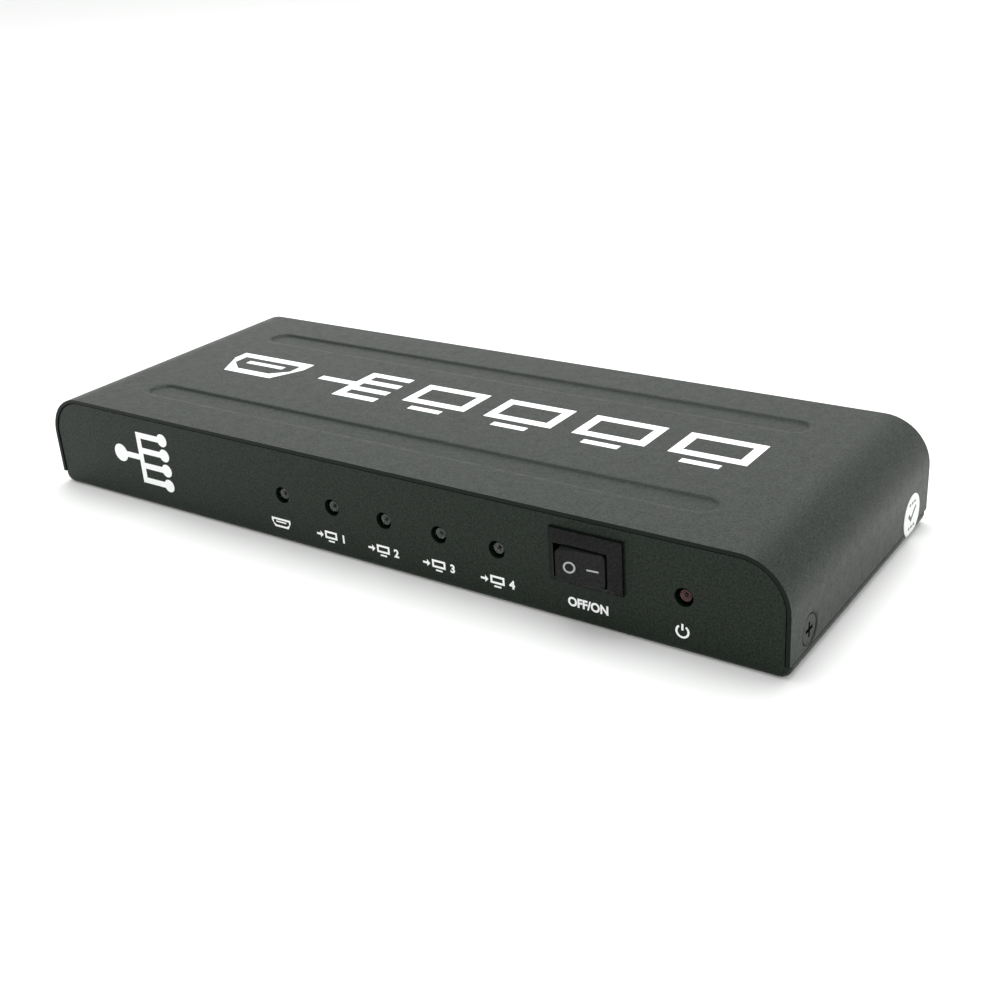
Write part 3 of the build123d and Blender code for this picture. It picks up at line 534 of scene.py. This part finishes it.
def rocker_face(distance, side):
    """A place on the rocker's left (-1) or right (1) slope, that far from its middle."""
    u = side * distance
    v = -(ROCKER_VALLEY + distance * sin(ROCKER_DISH) / cos(ROCKER_DISH))
    x = SWITCH_X + u * cos(ROCKER_ANGLE) - v * sin(ROCKER_ANGLE)
    y = HINGE_Y + u * sin(ROCKER_ANGLE) + v * cos(ROCKER_ANGLE)
    slope = ROCKER_ANGLE - side * ROCKER_DISH
    return place((x, y, MARK_Z), (cos(slope), sin(slope), 0), (sin(slope), -cos(slope), 0))


mark("rocker_ring", [circle(0, 0, RING_RADIUS), circle(0, 0, RING_INNER)],
     rocker_face(RING_FROM_HINGE, -1), "rocker", GREY_PRINT)
mark("rocker_dash", [box(0, 0, DASH_LENGTH, DASH_STROKE)],
     rocker_face(DASH_FROM_HINGE, 1), "rocker", GREY_PRINT)


# Lamps


def smooth_mesh(name, verts, faces):
    """A smoothly shaded mesh."""
    mesh = bpy.data.meshes.new(name)
    mesh.from_pydata(verts, [], faces)
    mesh.update()
    mesh.polygons.foreach_set("use_smooth", [True] * len(mesh.polygons))
    return mesh


def revolved(name, profile, at, turns=40):
    """A closed round piece about the z axis of the place at, from its (radius, height) points."""
    verts, faces = [], []
    for r, z in profile:
        for n in range(turns):
            a = 2 * pi * n / turns
            verts.append((r * cos(a) * MM, r * sin(a) * MM, z * MM))
    for ring in range(len(profile) - 1):
        for n in range(turns):
            a, b = ring * turns + n, ring * turns + (n + 1) % turns
            faces.append((a, b, b + turns, a + turns))
    faces.append(tuple(reversed(range(turns))))
    faces.append(tuple(range((len(profile) - 1) * turns, len(profile) * turns)))
    return add_piece(name, smooth_mesh(name, verts, faces), at)


# A lamp's tip is this far behind the panel's face
LAMP_RECESS = 0.16

# The narrower lens on a lamp's body: its radius, height and crown, and the shoulder round its foot
LENS_RADIUS = 1.22
LENS_HEIGHT = 0.75
LENS_CROWN = 0.4
LENS_SHOULDER = 0.1
LENS_STEPS = 14

# A lamp ends in a small flat at its foot, as a share of its radius, and one at its tip
FOOT_FLAT = 0.05
CROWN_SHARE = 0.985

# The cup under a lens, with its flat rim and sloping wall, and the chip at the cup's bottom
CUP_PROFILE = [
    (0.02, -1.3), (1.15, -1.3), (1.15, -0.55), (1.0, -0.5), (0.8, -0.55), (0.45, -0.88), (0.02, -0.9),
]
CHIP_PROFILE = [(0.02, -0.9), (0.35, -0.9), (0.31, -0.66), (0.02, -0.65)]


def lamp_profile():
    """A lamp from its foot up to its tip at height 0: a body, a shoulder and a lens."""
    points = [
        (LAMP_RADIUS * FOOT_FLAT, -LAMP_LENGTH),
        (LAMP_RADIUS, -LAMP_LENGTH),
        (LAMP_RADIUS, -LENS_HEIGHT - LENS_SHOULDER),
        (LAMP_RADIUS - LENS_SHOULDER, -LENS_HEIGHT),
        (LENS_RADIUS, -LENS_HEIGHT),
    ]
    for n in range(LENS_STEPS + 1):
        a = n / LENS_STEPS * pi / 2 * CROWN_SHARE
        points.append((LENS_RADIUS * cos(a), LENS_CROWN * (sin(a) - 1)))
    return points


for name, x in LAMP_XS.items():
    is_red = name == "power"
    at = place((x, PANEL_FACE + LAMP_RECESS, LAMP_HEIGHT), (1, 0, 0), (0, -1, 0))
    dome = revolved(f"{name}_lamp_dome", lamp_profile(), at)
    dome.data.materials.append(FINISHES["red_lamp" if is_red else "clear_lamp"])
    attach(dome, "case")
    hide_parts(f"{name}_lamp")
    cup = revolved(f"{name}_lamp_cup", CUP_PROFILE, at)
    cup.data.materials.append(RED_LAMP_CUP if is_red else LAMP_CUP)
    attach(cup, "case")
    chip = revolved(f"{name}_lamp_chip", CHIP_PROFILE, at)
    chip.data.materials.append(LAMP_CHIP)
    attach(chip, "case")


# The round sticker over the rear screw of the right side

STICKER_RADIUS = 4.45
STICKER_Y = 24.7
STICKER_Z = 5.4
STICKER_SHEET = 0.07
STICKER_RINGS = 10
STICKER_SECTORS = 64
STICKER_CENTRE = 0.001


def side_wall(z, lift):
    """The x of the case's right side at height z, lifted off it; it rounds inward near the bottom."""
    if z >= LOWER_CORNER:
        return HALF_LENGTH + lift
    r = LOWER_CORNER
    return HALF_LENGTH - r + sqrt(max((r + lift) ** 2 - (r - z) ** 2, 0))


def sticker_mesh(name):
    """A disc laid on the side wall."""
    verts, faces = [], []
    for k in range(STICKER_RINGS + 1):
        r = STICKER_CENTRE + STICKER_RADIUS * k / STICKER_RINGS
        for n in range(STICKER_SECTORS):
            a = 2 * pi * n / STICKER_SECTORS
            z = STICKER_Z + r * sin(a)
            verts.append((side_wall(z, STICKER_SHEET) * MM, (STICKER_Y + r * cos(a)) * MM, z * MM))
    for k in range(STICKER_RINGS):
        for n in range(STICKER_SECTORS):
            a, b = k * STICKER_SECTORS + n, k * STICKER_SECTORS + (n + 1) % STICKER_SECTORS
            faces.append((a, a + STICKER_SECTORS, b + STICKER_SECTORS, b))
    return smooth_mesh(name, verts, faces)


paper = add_piece("sticker", sticker_mesh("sticker"))
paper.data.materials.append(STICKER_PAPER)
thick = paper.modifiers.new("paper", "SOLIDIFY")
thick.thickness = STICKER_SHEET * MM
thick.offset = -1.0
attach(paper, "case")

# The sticker's print: a tick in the middle, with a row of short bars above it and one below
TICK = [(-2.1, 0.2), (-0.5, -1.3), (2.3, 1.1), (1.9, 1.65), (-0.5, -0.3), (-1.6, 0.8)]
BAR_XS = (-1.3, 0, 1.3)
BAR_YS = (2.6, -2.5)
BAR_SIZE = (0.8, 0.55)
ink_place = place((HALF_LENGTH + STICKER_SHEET, STICKER_Y, STICKER_Z), (0, 1, 0), (1, 0, 0))
mark("sticker_tick", [TICK], ink_place, "case", STICKER_INK)
bars = [box(x, y, *BAR_SIZE) for y in BAR_YS for x in BAR_XS]
mark("sticker_bars", bars, ink_place, "case", STICKER_INK)


# Floor

FLOOR_HALF = 12.0
FLOOR_DROP = 0.02
FLOOR_GLOW = 0.07
floor_mesh = bpy.data.meshes.new("floor")
corners = ((-1, -1), (1, -1), (1, 1), (-1, 1))
floor_mesh.from_pydata([(x * FLOOR_HALF, y * FLOOR_HALF, -FLOOR_DROP * MM) for x, y in corners],
                       [], [(0, 1, 2, 3)])
floor = add_piece("floor", floor_mesh)
floor_mesh.materials.append(surface("floor_paper", (0.84, 0.85, 0.84), 0.9, vary=0.01, grain=40.0,
                                    Emission_Color=(1.0, 1.0, 0.98, 1.0), Emission_Strength=FLOOR_GLOW))


# Light: the studio is brighter behind the box than in front of it, with one soft light overhead

WORLD_FRONT = 0.85
WORLD_BACK = 1.28
WORLD_RISE_END = 0.75
world = bpy.data.worlds.new("studio")
bpy.context.scene.world = world
world.use_nodes = True
background = world.node_tree.nodes["Background"]
background.inputs["Color"].default_value = (1.0, 1.0, 1.0, 1.0)
heading = world.node_tree.nodes.new("ShaderNodeSeparateXYZ")
directions = world.node_tree.nodes.new("ShaderNodeTexCoord").outputs["Generated"]
world.node_tree.links.new(directions, heading.inputs[0])
glow = mask(world.node_tree, heading.outputs["Y"], 0.0, WORLD_RISE_END, WORLD_FRONT, WORLD_BACK)
world.node_tree.links.new(glow.outputs["Result"], background.inputs["Strength"])

SOFTBOX_AT = Vector((-0.15, 0.25, 1.0))
SOFTBOX_SIZE = 0.9
SOFTBOX_POWER = 9.0
softbox = bpy.data.lights.new("overhead", "AREA")
softbox.size = SOFTBOX_SIZE
softbox.energy = SOFTBOX_POWER
overhead = add_piece("overhead", softbox)
overhead.location = SOFTBOX_AT
overhead.rotation_euler = (-SOFTBOX_AT).to_track_quat("-Z", "Y").to_euler()


# Camera, as it was fitted to the case in the photograph

CAMERA_AT = (163.158, -211.949, 122.673)
CAMERA_AZIMUTH = radians(35.8128)
CAMERA_ELEVATION = radians(24.7880)
CAMERA_ROLL = radians(-3.8328)
FOCAL_PX = 1340.53
FRAME_PX = 1000
SENSOR = 36.0
NEAREST = 0.01
FARTHEST = 20.0
camera = bpy.data.cameras.new("camera")
camera.sensor_width = SENSOR
camera.lens = FOCAL_PX / FRAME_PX * SENSOR
camera.clip_start = NEAREST
camera.clip_end = FARTHEST
ahead = Vector((
    -sin(CAMERA_AZIMUTH) * cos(CAMERA_ELEVATION),
    cos(CAMERA_AZIMUTH) * cos(CAMERA_ELEVATION),
    -sin(CAMERA_ELEVATION),
))
level = ahead.cross(Vector((0, 0, 1))).normalized()
upright = level.cross(ahead)
right = cos(CAMERA_ROLL) * level + sin(CAMERA_ROLL) * upright
above = -sin(CAMERA_ROLL) * level + cos(CAMERA_ROLL) * upright
turned_camera = Matrix((right, above, -ahead)).transposed().to_4x4()
viewer = add_piece("camera", camera, Matrix.Translation(Vector(CAMERA_AT) * MM) @ turned_camera)
bpy.context.scene.camera = viewer
bpy.context.scene.view_settings.view_transform = "Standard"
